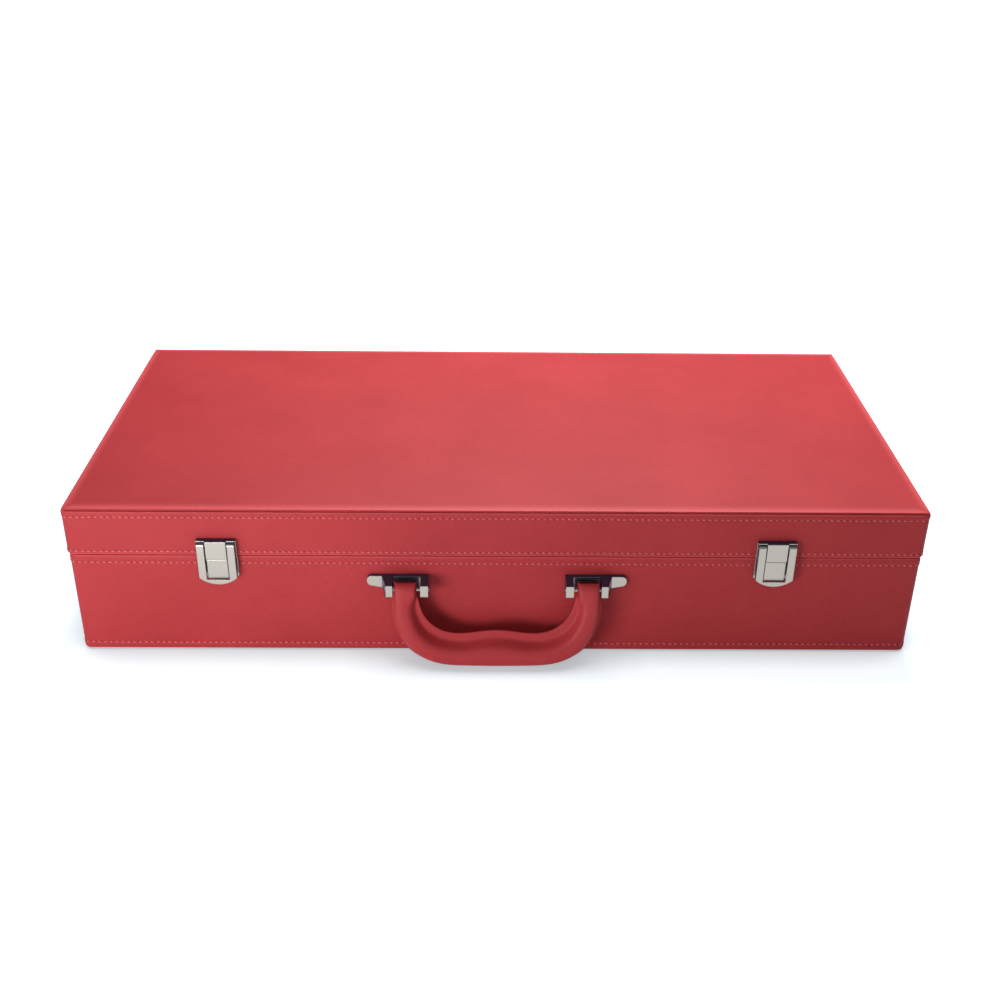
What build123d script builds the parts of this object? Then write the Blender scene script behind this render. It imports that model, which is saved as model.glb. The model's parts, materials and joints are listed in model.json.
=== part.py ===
# Mahjong set case: a flat carrying case with a hinged lid, covered in stitched leatherette.
# Wall boards are glued into two trays, wrapped in a covering and lined inside. Two hinges at
# the back join the trays, two flap latches close them and a padded handle swings on two brackets.
# Frame: X runs left to right, Y front to back, Z up. The origin is the middle of the underside.
# All sizes are in millimetres.
import os
from math import cos, radians, sin

from build123d import *

# Outside of the case, measured over the covering
lid_length = 540.0
lid_depth = 260.0
base_height = 71.9
lid_height = 33.1
seam_gap = 0.6  # daylight between the closed lid and the base
overhang = 0.7  # how far the lid stands out past the base on each side
corner_radius = 5.0  # upright corners

# Covering and boards
skin = 1.3  # leatherette with its backing
fold_radius = 0.9  # where the covering turns over an edge
hem = 16.0  # covering turned in under the case
sole = 0.8  # sheet glued over the turned-in hem, on which the case stands
sole_inset = 3.0
wall_board = 6.0
bottom_board = 4.0
corner_ease = 0.2  # boards are rounded a little more than the covering round them

# Padded top of the lid
lid_board = 3.0
foam = 1.8
band_reveal = 2.2  # padding that shows above the lid's band
panel_fit = 0.1  # padded panel inside the band
turn_under = 12.0  # covering glued under the lid board
top_roll = 3.0  # rounding of the padded edge

# Lining
liner = 2.5  # velvet on card
floor_liner = 2.0
lip_height = 6.0  # base lining that stands up into the lid
lip_clearance = 1.0  # lid lining above that lip

# Compartments
partition = 5.0
partition_drop = 4.0  # partitions stay below the base's rim
rack_bay = 128.0  # front to back, for four tile racks
accessory_bay = 60.0  # left to right, for dice and counters

# Rear hinges
hinge_inset = 100.0  # middle of a hinge to the case's end
knuckle_count = 5
knuckle_width = 10.0
knuckle_radius = 2.6
hinge_standoff = 0.4  # knuckle clear of the lid's back
hinge_pin_radius = 1.2
hinge_sheet = 1.2
leaf_height = 17.0
ear_width = 5.0  # stop lug at each end of a leaf
ear_reach = 6.2
ear_foot = 9.0
lid_open_angle = 100.0
stop_clearance = 1.0  # degrees left between the lugs when open
knuckle_gap = 0.2
knuckle_relief = 0.35  # a leaf's clearance round the other leaf's knuckles
running_fit = 0.06
hinge_screw_radius = 1.3
hinge_screw_head = 2.4
hinge_screw_dome = 1.0
hinge_screw_length = 6.0
hinge_screw_pitch = 20.0
hinge_screw_drop = 11.0  # screw line to hinge axis
screw_ease = 0.1

# Latches
latch_inset = 94.7  # middle of a latch to the case's end
latch_sheet = 0.8
plate_width = 24.4
plate_drop = 0.7  # joint between the plates, below the lid's rim
plate_gap = 0.2
hinge_plate_top = 12.4  # above the lid's rim
catch_plate_bottom = 14.4  # below the base's rim
housing_width = 13.4
upper_housing = 4.8  # out from the lid's face
lower_housing = 3.9  # out from the lid's face too, under the flap's lower bar
housing_edge = 0.5
roof_reach = 3.6
roof_gap = 0.3  # flap knuckles under the roof and in front of the plate
flap_width = 23.5
flap_opening = 14.4
flap_sheet = 1.1
flap_tip = 17.7  # flap below the base's rim
flap_crown = 4.6  # rise of the flap's curved lower edge
flap_bar = 3.4  # height of the lower bar at its middle
flap_flange = 3.5  # sides bent back towards the case
flap_knuckle_radius = 2.1
flap_pin_radius = 0.9
flap_pin_proud = 0.3
latch_screw_radius = 0.8
latch_screw_head = 1.5
latch_screw_dome = 0.6
latch_screw_length = 5.5
latch_screw_offset = 9.4

# Carrying handle
handle_spacing = 115.0  # between the middles of the two loops
pivot_drop = 17.4  # pivot below the base's rim
pivot_standoff = 11.0  # pivot out from the base's face
handle_lean = 6.0  # degrees out from upright, where the grip meets the table
loop_width = 14.0
loop_radius = 5.7
handle_skin = 1.2
cover_gap = 0.25  # each half cover stops this far from the middle seam
handle_pin_radius = 1.25
handle_pin_proud = 0.5

# Sections through the handle from a loop to the middle of the grip. Each is given as distance
# from the middle, drop below the pivot, turn of the path in degrees, width, thickness, corner.
handle_sections = (
    (57.5, 0.0, 0.0, 14.0, 11.4, 1.6),
    (57.8, 5.0, 0.0, 14.6, 11.6, 1.9),
    (58.1, 9.5, 4.0, 16.8, 12.2, 3.0),
    (57.0, 18.2, 14.0, 18.2, 13.2, 4.6),
    (50.6, 32.4, 42.0, 21.8, 15.4, 6.0),
    (40.4, 40.2, 64.0, 22.6, 16.4, 6.8),
    (26.0, 43.2, 86.0, 21.8, 17.0, 7.2),
    (13.0, 42.9, 93.0, 23.2, 17.0, 7.4),
    (0.0, 42.2, 90.0, 25.0, 17.0, 7.6),
)

# Handle brackets
bracket_height = 9.1
lug_reach = 14.8
inner_lug = 5.0
outer_lug = 4.2
inner_play = 2.3  # loop to the inner lug
outer_play = 1.1  # loop to the outer lug
back_bar = 3.7
back_bar_height = 1.6
back_plate = 1.2
tab_length = 12.5
tab_thickness = 3.0
tab_round = 3.1
tab_taper = 2.6  # the tab's lower edge rises this much towards its end
shoulder = 3.1
lug_round = 1.6  # lower front edges of the lugs
handle_screw_radius = 1.75
handle_screw_head = 3.2
handle_screw_head_height = 2.0
handle_screw_bite = 6.0
washer_radius = 4.2
washer_thickness = 0.6
counterbore_depth = 3.0
counterbore_ease = 0.3

# Worked out from the sizes above
base_length = lid_length - 2 * overhang
base_depth = lid_depth - 2 * overhang
lid_rim = base_height + seam_gap
case_height = lid_rim + lid_height
axis_z = base_height + seam_gap / 2
axis_y = lid_depth / 2 + hinge_standoff + knuckle_radius
band_top = case_height - band_reveal
panel_low = case_height - skin - foam - lid_board - skin
base_front = -base_depth / 2
lid_front = -lid_depth / 2
hull_low = sole + skin  # underside of the base's boards
floor_z = hull_low + bottom_board + floor_liner
lip_top = base_height + lip_height
ceiling_z = panel_low - liner
bay_x = base_length / 2 - skin - wall_board - liner
bay_y = base_depth / 2 - skin - wall_board - liner

os.makedirs("parts", exist_ok=True)


def save(piece, name):
    """Labels a finished piece and writes it to its own file."""
    piece.part.label = name
    export_step(piece.part, f"parts/{name}.step")


def drill(plane, points, radius, depth):
    """Bores holes into the part being built, to this depth on both sides of a plane."""
    with Locations(plane):
        with Locations(*points):
            Hole(radius, depth=depth)


def slab(name, x, y, z):
    """A plain board or lining panel between two corners, each way given as (low, high)."""
    with BuildPart() as piece:
        with Locations((sum(x) / 2, sum(y) / 2, sum(z) / 2)):
            Box(x[1] - x[0], y[1] - y[0], z[1] - z[0])
    save(piece, name)


# Where the fasteners go, as (x, z) on the front or rear face
latch_x = (latch_inset - lid_length / 2, lid_length / 2 - latch_inset)
hinge_x = (hinge_inset - lid_length / 2, lid_length / 2 - hinge_inset)
hinge_plate_low = lid_rim - plate_drop
hinge_plate_high = lid_rim + hinge_plate_top
catch_plate_low = base_height - catch_plate_bottom
catch_plate_high = hinge_plate_low - plate_gap
latch_offsets = (-latch_screw_offset, latch_screw_offset)
hinge_plate_screws = [(x + dx, (hinge_plate_low + hinge_plate_high) / 2) for x in latch_x for dx in latch_offsets]
catch_plate_screws = [(x + dx, (catch_plate_low + catch_plate_high) / 2) for x in latch_x for dx in latch_offsets]
hinge_screw_steps = (-hinge_screw_pitch, 0, hinge_screw_pitch)
base_hinge_screws = [(x + dx, axis_z - hinge_screw_drop) for x in hinge_x for dx in hinge_screw_steps]
lid_hinge_screws = [(x + dx, axis_z + hinge_screw_drop) for x in hinge_x for dx in hinge_screw_steps]
loop_x = handle_spacing / 2
pivot_z = base_height - pivot_drop
pivot_y = base_front - pivot_standoff
inner_lug_face = loop_x - loop_width / 2 - inner_play
outer_lug_face = loop_x + loop_width / 2 + outer_play
bracket_screw_x = (inner_lug_face - inner_lug / 2, outer_lug_face + outer_lug / 2)
bracket_screws = [(side * x, pivot_z) for side in (-1, 1) for x in bracket_screw_x]

front_of_base = Plane.XZ.offset(-base_front)
front_of_lid = Plane.XZ.offset(-lid_front)
rear_of_base = Plane(origin=(0, base_depth / 2, 0), x_dir=(-1, 0, 0), z_dir=(0, 1, 0))
rear_of_lid = Plane(origin=(0, lid_depth / 2, 0), x_dir=(-1, 0, 0), z_dir=(0, 1, 0))


def wall_boards(prefix, length, depth, low, high, front_holes, rear_holes, counterbores=()):
    """Four wall boards of a tray. Front and rear run full length and the sides fit between."""
    half_x, half_y = length / 2, depth / 2
    for name, face in (("front", -1), ("rear", 1)):
        with BuildPart() as board:
            with Locations((0, face * (half_y - wall_board / 2), (low + high) / 2)):
                Box(length, wall_board, high - low)
            corners = board.edges().filter_by(Axis.Z).group_by(Axis.Y)[-1 if face > 0 else 0]
            fillet(corners, corner_radius - skin + corner_ease)
            holes = front_holes if face < 0 else rear_holes
            entry = Plane.XZ.offset(half_y if face < 0 else wall_board - half_y)
            for points, radius in holes:
                drill(entry, points, radius, wall_board)
            if face < 0 and counterbores:
                inner_face = Plane.XZ.offset(half_y - wall_board)
                drill(inner_face, counterbores, washer_radius + counterbore_ease, counterbore_depth)
        save(board, f"{prefix}_{name}_board")
    for name, face in (("left", -1), ("right", 1)):
        outer, inner = face * half_x, face * (half_x - wall_board)
        clear_y = half_y - wall_board
        slab(f"{prefix}_{name}_board", sorted((outer, inner)), (-clear_y, clear_y), (low, high))


def wall_liners(prefix, half_x, half_y, low, high):
    """Four lining panels, the long ones across the whole tray and the short ones between."""
    for name, face in (("front", -1), ("rear", 1)):
        span = sorted((face * half_y, face * (half_y - liner)))
        slab(f"{prefix}_{name}_liner", (-half_x, half_x), span, (low, high))
    for name, face in (("left", -1), ("right", 1)):
        span = sorted((face * half_x, face * (half_x - liner)))
        slab(f"{prefix}_{name}_liner", span, (liner - half_y, half_y - liner), (low, high))


# Base tray: bottom, walls, covering and lining
with BuildPart() as bottom:
    with BuildSketch(Plane.XY.offset(hull_low)):
        RectangleRounded(base_length - 2 * skin, base_depth - 2 * skin, corner_radius - skin + corner_ease)
    extrude(amount=bottom_board)
save(bottom, "base_bottom_board")

wall_boards(
    "base",
    base_length - 2 * skin,
    base_depth - 2 * skin,
    hull_low + bottom_board,
    base_height - skin,
    [(catch_plate_screws, latch_screw_radius + screw_ease), (bracket_screws, handle_screw_radius + screw_ease)],
    [(base_hinge_screws, hinge_screw_radius + screw_ease)],
    bracket_screws,
)

with BuildPart() as base_band:
    with BuildSketch(Plane.XY.offset(sole)):
        RectangleRounded(base_length, base_depth, corner_radius)
    extrude(amount=base_height - sole)
    rims = base_band.faces().filter_by(Axis.Z).edges()
    fillet(rims, fold_radius)
    with BuildSketch(Plane.XY.offset(hull_low)):
        RectangleRounded(base_length - 2 * skin, base_depth - 2 * skin, corner_radius - skin)
    extrude(amount=base_height - skin - hull_low, mode=Mode.SUBTRACT)
    with BuildSketch(Plane.XY.offset(base_height - skin)):
        Rectangle(base_length - 2 * skin - 2 * wall_board, base_depth - 2 * skin - 2 * wall_board)
    extrude(amount=skin, mode=Mode.SUBTRACT)
    with BuildSketch(Plane.XY.offset(sole)):
        Rectangle(base_length - 2 * hem, base_depth - 2 * hem)
    extrude(amount=skin, mode=Mode.SUBTRACT)
    drill(front_of_base, catch_plate_screws, latch_screw_radius + screw_ease, skin)
    drill(front_of_base, bracket_screws, handle_screw_radius + screw_ease, skin)
    drill(rear_of_base, base_hinge_screws, hinge_screw_radius + screw_ease, skin)
save(base_band, "base_band")

with BuildPart() as sole_sheet:
    with BuildSketch():
        RectangleRounded(base_length - 2 * sole_inset, base_depth - 2 * sole_inset, corner_radius)
    extrude(amount=sole)
save(sole_sheet, "bottom_cover")

inner_x = base_length / 2 - skin - wall_board
inner_y = base_depth / 2 - skin - wall_board
slab("base_floor_liner", (-inner_x, inner_x), (-inner_y, inner_y), (hull_low + bottom_board, floor_z))
wall_liners("base", inner_x, inner_y, floor_z, lip_top)

# Partitions: one long bay for the racks at the back, three bays in front
partition_top = base_height - partition_drop
rack_front = bay_y - rack_bay
tile_rear = rack_front - partition
slab("rack_partition", (-bay_x, bay_x), (tile_rear, rack_front), (floor_z, partition_top))
accessory_left = bay_x - accessory_bay
tile_right = accessory_left - partition
tile_middle = (tile_right - bay_x) / 2
for name, low in (("tile_partition", tile_middle - partition / 2), ("accessory_partition", tile_right)):
    slab(name, (low, low + partition), (-bay_y, tile_rear), (floor_z, partition_top))

# Lid tray: walls, covering, padded top and lining
wall_boards(
    "lid",
    lid_length - 2 * skin,
    lid_depth - 2 * skin,
    lid_rim + skin,
    panel_low,
    [(hinge_plate_screws, latch_screw_radius + screw_ease)],
    [(lid_hinge_screws, hinge_screw_radius + screw_ease)],
)

with BuildPart() as lid_band:
    with BuildSketch(Plane.XY.offset(lid_rim)):
        RectangleRounded(lid_length, lid_depth, corner_radius)
    extrude(amount=band_top - lid_rim)
    rims = lid_band.faces().filter_by(Axis.Z).edges()
    fillet(rims, fold_radius / 2)
    with BuildSketch(Plane.XY.offset(lid_rim + skin)):
        RectangleRounded(lid_length - 2 * skin, lid_depth - 2 * skin, corner_radius - skin)
    extrude(amount=band_top - lid_rim, mode=Mode.SUBTRACT)
    with BuildSketch(Plane.XY.offset(lid_rim)):
        Rectangle(lid_length - 2 * skin - 2 * wall_board, lid_depth - 2 * skin - 2 * wall_board)
    extrude(amount=skin, mode=Mode.SUBTRACT)
    drill(front_of_lid, hinge_plate_screws, latch_screw_radius + screw_ease, skin)
    drill(rear_of_lid, lid_hinge_screws, hinge_screw_radius + screw_ease, skin)
save(lid_band, "lid_band")

panel_length = lid_length - 2 * skin - 2 * panel_fit
panel_depth = lid_depth - 2 * skin - 2 * panel_fit
panel_corner = corner_radius - skin
core_length = panel_length - 2 * skin
core_depth = panel_depth - 2 * skin
core_corner = panel_corner - skin
with BuildPart() as top_board:
    with BuildSketch(Plane.XY.offset(panel_low + skin)):
        RectangleRounded(core_length, core_depth, core_corner + corner_ease)
    extrude(amount=lid_board)
save(top_board, "lid_top_board")

with BuildPart() as top_foam:
    with BuildSketch(Plane.XY.offset(panel_low + skin + lid_board)):
        RectangleRounded(core_length, core_depth, core_corner + corner_ease)
    extrude(amount=foam)
    fillet(top_foam.faces().sort_by(Axis.Z)[-1].edges(), top_roll - skin)
save(top_foam, "lid_top_foam")

with BuildPart() as top_cover:
    with BuildSketch(Plane.XY.offset(panel_low)):
        RectangleRounded(panel_length, panel_depth, panel_corner)
    extrude(amount=case_height - panel_low)
    fillet(top_cover.faces().sort_by(Axis.Z)[-1].edges(), top_roll)
    add(top_board.part, mode=Mode.SUBTRACT)
    add(top_foam.part, mode=Mode.SUBTRACT)
    with BuildSketch(Plane.XY.offset(panel_low)):
        Rectangle(panel_length - 2 * turn_under, panel_depth - 2 * turn_under)
    extrude(amount=skin, mode=Mode.SUBTRACT)
save(top_cover, "lid_top_cover")

lid_inner_x = lid_length / 2 - skin - wall_board
lid_inner_y = lid_depth / 2 - skin - wall_board
slab("lid_ceiling_liner", (-lid_inner_x, lid_inner_x), (-lid_inner_y, lid_inner_y), (ceiling_z, panel_low))
wall_liners("lid", lid_inner_x, lid_inner_y, lip_top + lip_clearance, ceiling_z)


# Rear hinges, with lugs that meet and stop the lid
def knuckle_spans(centre, own):
    """X spans of every second knuckle of a hinge, the even ones for the base, the odd for the lid."""
    start = centre - knuckle_count * knuckle_width / 2
    chosen = [i for i in range(knuckle_count) if i % 2 == own]
    return [(start + i * knuckle_width, start + (i + 1) * knuckle_width) for i in chosen]


def hinge_leaf(name, centre, up, face_y, own):
    """One leaf. up is 1 for the lid's leaf and -1 for the base's, and own picks its knuckles."""
    half = knuckle_count * knuckle_width / 2 + ear_width
    far_z = axis_z + up * leaf_height
    relief_z = axis_z + up * (knuckle_radius + knuckle_relief)
    with BuildPart() as leaf:
        with Locations((centre, face_y + hinge_sheet / 2, (far_z + relief_z) / 2)):
            Box(2 * half, hinge_sheet, abs(far_z - relief_z))
        for low, high in knuckle_spans(centre, own):
            middle, width = (low + high) / 2, high - low - knuckle_gap
            strap_z = axis_z + up * (knuckle_radius - hinge_sheet / 2)
            with Locations((middle, (face_y + axis_y) / 2, strap_z)):
                Box(width, axis_y - face_y, hinge_sheet)
            with Locations((middle, face_y + hinge_sheet / 2, (strap_z + relief_z) / 2)):
                Box(width, hinge_sheet, abs(relief_z - strap_z) + hinge_sheet)
            with Locations((middle, axis_y, axis_z)):
                Cylinder(knuckle_radius, width, rotation=(0, 90, 0))
        stop = radians((lid_open_angle + stop_clearance) / 2)
        inner, outer = knuckle_radius + knuckle_relief, ear_reach
        for end in (centre - half, centre + half - ear_width):
            with BuildSketch(Plane.YZ.offset(end)):
                with BuildLine():
                    Polyline(
                        (face_y, relief_z),
                        (axis_y + inner * cos(stop), axis_z + up * inner * sin(stop)),
                        (axis_y + outer * cos(stop), axis_z + up * outer * sin(stop)),
                        (face_y + hinge_sheet, axis_z + up * ear_foot),
                        (face_y, axis_z + up * ear_foot),
                        close=True,
                    )
                make_face()
            extrude(amount=ear_width)
        with Locations((centre, axis_y, axis_z)):
            Cylinder(
                hinge_pin_radius + running_fit, 2 * half, rotation=(0, 90, 0), mode=Mode.SUBTRACT
            )
        points = [(centre + dx, axis_z + up * hinge_screw_drop) for dx in hinge_screw_steps]
        outside = Plane(origin=(0, face_y, 0), x_dir=(1, 0, 0), z_dir=(0, -1, 0))
        drill(outside, points, hinge_screw_radius + screw_ease, hinge_sheet)
    save(leaf, name)


for side, centre in zip(("left", "right"), hinge_x):
    hinge_leaf(f"{side}_hinge_base_leaf", centre, -1, base_depth / 2, 0)
    hinge_leaf(f"{side}_hinge_lid_leaf", centre, 1, lid_depth / 2, 1)
    with BuildPart() as hinge_pin:
        with Locations((centre, axis_y, axis_z)):
            Cylinder(hinge_pin_radius, knuckle_count * knuckle_width, rotation=(0, 90, 0))
    save(hinge_pin, f"{side}_hinge_pin")


def dome_screws(name, points, face, head, shank, dome, length):
    """Round-headed screws in a row. face lies on the sheet they hold and points outwards."""
    with BuildPart() as screws:
        with Locations(face):
            with Locations(*points):
                Cylinder(head, dome, align=(Align.CENTER, Align.CENTER, Align.MIN))
                Cylinder(shank, length, align=(Align.CENTER, Align.CENTER, Align.MAX))
        outward = Axis(face.origin, face.z_dir)
        heads = screws.faces().filter_by(GeomType.PLANE).group_by(outward)[-1]
        fillet(heads.edges(), dome * 0.8)
    save(screws, name)


for name, points, face in (
    ("hinge_base_screws", base_hinge_screws, rear_of_base.offset(hinge_sheet)),
    ("hinge_lid_screws", lid_hinge_screws, rear_of_lid.offset(hinge_sheet)),
):
    dome_screws(
        name, points, face, hinge_screw_head, hinge_screw_radius, hinge_screw_dome, hinge_screw_length
    )
for name, points, face in (
    ("latch_hinge_screws", hinge_plate_screws, front_of_lid.offset(latch_sheet)),
    ("latch_catch_screws", catch_plate_screws, front_of_base.offset(latch_sheet)),
):
    dome_screws(
        name, points, face, latch_screw_head, latch_screw_radius, latch_screw_dome, latch_screw_length
    )


# Latches: a hinge plate on the lid, a catch plate on the base and a U-shaped flap over both
flap_axis_z = hinge_plate_high - latch_sheet - roof_gap - flap_knuckle_radius
flap_axis_out = latch_sheet + roof_gap + flap_knuckle_radius
flap_axis_y = lid_front - flap_axis_out
flap_front = lid_front - flap_axis_out - flap_knuckle_radius
flap_low = base_height - flap_tip


def front_box(x, face_y, reach, z):
    """Adds a box that stands out from a front face. x and z are (low, high)."""
    with Locations(((x[0] + x[1]) / 2, face_y - reach / 2, (z[0] + z[1]) / 2)):
        Box(x[1] - x[0], reach, z[1] - z[0])


def around(centre, width):
    """The span of this width about a centre."""
    return (centre - width / 2, centre + width / 2)


for side, centre in zip(("left", "right"), latch_x):
    plate_x, housing_x = around(centre, plate_width), around(centre, housing_width)
    screw_x = [centre + dx for dx in latch_offsets]
    with BuildPart() as hinge_plate:
        plate_z = (hinge_plate_low, hinge_plate_high)
        front_box(housing_x, lid_front, upper_housing, plate_z)
        fillet(hinge_plate.faces().sort_by(Axis.Y)[0].edges(), housing_edge)
        front_box(plate_x, lid_front, latch_sheet, plate_z)
        front_box(plate_x, lid_front, roof_reach, (hinge_plate_high - latch_sheet, hinge_plate_high))
        with Locations((centre, flap_axis_y, flap_axis_z)):
            Cylinder(flap_pin_radius, plate_width, rotation=(0, 90, 0), mode=Mode.SUBTRACT)
        points = [point for point in hinge_plate_screws if point[0] in screw_x]
        drill(front_of_lid, points, latch_screw_radius + screw_ease, latch_sheet)
    save(hinge_plate, f"{side}_latch_hinge_plate")

    with BuildPart() as catch_plate:
        plate_z = (catch_plate_low, catch_plate_high)
        front_box(housing_x, base_front, lower_housing + overhang, plate_z)
        fillet(catch_plate.faces().sort_by(Axis.Y)[0].edges(), housing_edge)
        front_box(plate_x, base_front, latch_sheet, plate_z)
        points = [point for point in catch_plate_screws if point[0] in screw_x]
        drill(front_of_base, points, latch_screw_radius + screw_ease, latch_sheet)
    save(catch_plate, f"{side}_latch_catch_plate")

    with BuildPart() as flap:
        left, right = around(centre, flap_width)
        with BuildSketch(Plane.XZ.offset(-flap_front - flap_sheet)):
            with BuildLine():
                Polyline((left, flap_low + flap_crown), (left, flap_axis_z), (right, flap_axis_z))
                Line((right, flap_axis_z), (right, flap_low + flap_crown))
                ThreePointArc((right, flap_low + flap_crown), (centre, flap_low), (left, flap_low + flap_crown))
            make_face()
            with Locations((centre, flap_low + flap_bar)):
                opening = flap_axis_z - flap_low - flap_bar
                Rectangle(flap_opening, opening, align=(Align.CENTER, Align.MIN), mode=Mode.SUBTRACT)
        extrude(amount=flap_sheet)
        for low in (left, right - flap_sheet):
            flange_z = (flap_low + flap_crown, flap_axis_z)
            front_box((low, low + flap_sheet), flap_front + flap_flange, flap_flange, flange_z)
        rail = (flap_width - flap_opening) / 2
        for middle in (left + rail / 2, right - rail / 2):
            with Locations((middle, flap_axis_y, flap_axis_z)):
                Cylinder(flap_knuckle_radius, rail, rotation=(0, 90, 0))
        with Locations((centre, flap_axis_y, flap_axis_z)):
            Cylinder(
                flap_pin_radius + running_fit, flap_width, rotation=(0, 90, 0), mode=Mode.SUBTRACT
            )
    save(flap, f"{side}_latch_flap")

    with BuildPart() as flap_pin:
        with Locations((centre, flap_axis_y, flap_axis_z)):
            Cylinder(flap_pin_radius, flap_width + 2 * flap_pin_proud, rotation=(0, 90, 0))
    save(flap_pin, f"{side}_latch_pin")


# Handle brackets, their pins and the screws that hold them through the base's front board
bracket_high = pivot_z + bracket_height / 2
bracket_low = pivot_z - bracket_height / 2
inner_end = inner_lug_face - inner_lug
outer_end = outer_lug_face + outer_lug
tab_end = outer_end + tab_length
for side, sign in (("left", -1), ("right", 1)):
    with BuildPart() as bracket:
        with BuildSketch(Plane.XY.offset(bracket_low)):
            with BuildLine():
                Polyline(
                    (sign * inner_end, base_front),
                    (sign * inner_end, base_front - lug_reach),
                    (sign * inner_lug_face, base_front - lug_reach),
                    (sign * inner_lug_face, base_front - back_bar),
                    (sign * outer_lug_face, base_front - back_bar),
                    (sign * outer_lug_face, base_front - lug_reach),
                    (sign * outer_end, base_front - lug_reach),
                    (sign * (outer_end + shoulder), base_front - tab_thickness),
                    (sign * tab_end, base_front - tab_thickness),
                    (sign * tab_end, base_front),
                    close=True,
                )
            make_face()
        extrude(amount=bracket_height)
        with BuildSketch(front_of_base) as front_view:
            with BuildLine():
                Polyline(
                    (sign * inner_end, bracket_low),
                    (sign * inner_end, bracket_high),
                    (sign * tab_end, bracket_high),
                    (sign * tab_end, bracket_low + tab_taper),
                    (sign * outer_end, bracket_low),
                    close=True,
                )
            make_face()
            fillet(front_view.vertices().group_by(Axis.X)[0 if sign < 0 else -1], tab_round)
        extrude(amount=lug_reach, mode=Mode.INTERSECT)
        noses = bracket.faces().filter_by(Axis.Y).sort_by(Axis.Y)[:2]
        fillet(noses.edges().filter_by(Axis.X).group_by(Axis.Z)[0], lug_round)
        with Locations((sign * (inner_lug_face + outer_lug_face) / 2, base_front - back_plate, bracket_low)):
            Box(
                outer_lug_face - inner_lug_face,
                back_bar - back_plate,
                bracket_height - back_bar_height,
                align=(Align.CENTER, Align.MAX, Align.MIN),
                mode=Mode.SUBTRACT,
            )
        with Locations((sign * loop_x, pivot_y, pivot_z)):
            Cylinder(
                handle_pin_radius, 2 * (tab_end - loop_x), rotation=(0, 90, 0), mode=Mode.SUBTRACT
            )
        screws_here = [point for point in bracket_screws if point[0] * sign > 0]
        drill(front_of_base, screws_here, handle_screw_radius, handle_screw_bite)
    save(bracket, f"{side}_handle_bracket")

    with BuildPart() as handle_pin:
        low, high = inner_end - handle_pin_proud, outer_end
        with Locations((sign * (low + high) / 2, pivot_y, pivot_z)):
            Cylinder(handle_pin_radius, high - low, rotation=(0, 90, 0))
    save(handle_pin, f"{side}_handle_pin")

washer_y = base_front + skin + wall_board - counterbore_depth
behind_base = Plane(origin=(0, washer_y, 0), x_dir=(-1, 0, 0), z_dir=(0, 1, 0))
with BuildPart() as washers:
    with Locations(behind_base):
        with Locations(*bracket_screws):
            Cylinder(washer_radius, washer_thickness, align=(Align.CENTER, Align.CENTER, Align.MIN))
            Hole(handle_screw_radius + screw_ease, depth=washer_thickness)
save(washers, "handle_screw_washers")

with BuildPart() as handle_screws:
    with Locations(behind_base.offset(washer_thickness)):
        with Locations(*bracket_screws):
            Cylinder(
                handle_screw_head, handle_screw_head_height, align=(Align.CENTER, Align.CENTER, Align.MIN)
            )
            shank = washer_y + washer_thickness - base_front + handle_screw_bite
            Cylinder(handle_screw_radius, shank, align=(Align.CENTER, Align.CENTER, Align.MAX))
save(handle_screws, "handle_bracket_screws")


# Handle: a core between two half covers that meet at the middle seam
lean = radians(handle_lean)
handle_plane = Plane(
    origin=(0, pivot_y, pivot_z), x_dir=(1, 0, 0), z_dir=(0, -cos(lean), sin(lean))
)


def handle_form(inset):
    """The handle's outer form, drawn in by an inset on every side."""
    mirrored = [(-x, drop, 180 - turn, *rest) for x, drop, turn, *rest in handle_sections[-2::-1]]
    with BuildPart() as form:
        for x, drop, turn, width, thickness, corner in [*handle_sections, *mirrored]:
            path = handle_plane.x_dir * -sin(radians(turn)) - handle_plane.y_dir * cos(radians(turn))
            middle = handle_plane.from_local_coords(Vector(x, -drop, 0))
            with BuildSketch(Plane(origin=middle, x_dir=handle_plane.z_dir, z_dir=path)):
                RectangleRounded(thickness - 2 * inset, width - 2 * inset, corner - inset)
        loft()
        with Locations(*[(side * loop_x, pivot_y, pivot_z) for side in (-1, 1)]):
            Cylinder(loop_radius - inset, loop_width - 2 * inset, rotation=(0, 90, 0))
    return form.part


with BuildPart() as handle_core:
    add(handle_form(handle_skin))
    with Locations((0, pivot_y, pivot_z)):
        Cylinder(
            handle_pin_radius + running_fit, 2 * tab_end, rotation=(0, 90, 0), mode=Mode.SUBTRACT
        )
save(handle_core, "handle_core")

for name, facing in (("handle_front_cover", 1), ("handle_back_cover", -1)):
    with BuildPart() as cover:
        add(handle_form(0))
        add(handle_form(handle_skin), mode=Mode.SUBTRACT)
        with Locations((0, pivot_y, pivot_z)):
            Cylinder(
                handle_pin_radius + running_fit, 2 * tab_end, rotation=(0, 90, 0), mode=Mode.SUBTRACT
            )
        seam = handle_plane.offset(facing * cover_gap)
        split(bisect_by=seam, keep=Keep.TOP if facing > 0 else Keep.BOTTOM)
    save(cover, name)
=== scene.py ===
# %% [markdown]
# A red leatherette carrying case for a mahjong set, dressed for the camera.
# The solids, sizes and joints come packed from the CAD step and are loaded as a fixed frame.
# This file adds what the eye sees: folded and stitched coverings, a padded top, thread,
# materials, light and a camera. All lengths in the mesh code are metres; MM turns
# millimetres into metres, so that the numbers can be read as a maker would say them.

# %% Load the frame
import json
import random
from math import ceil, cos, pi, radians, sin

import bmesh
import bpy
from mathutils import Matrix, Vector


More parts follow.
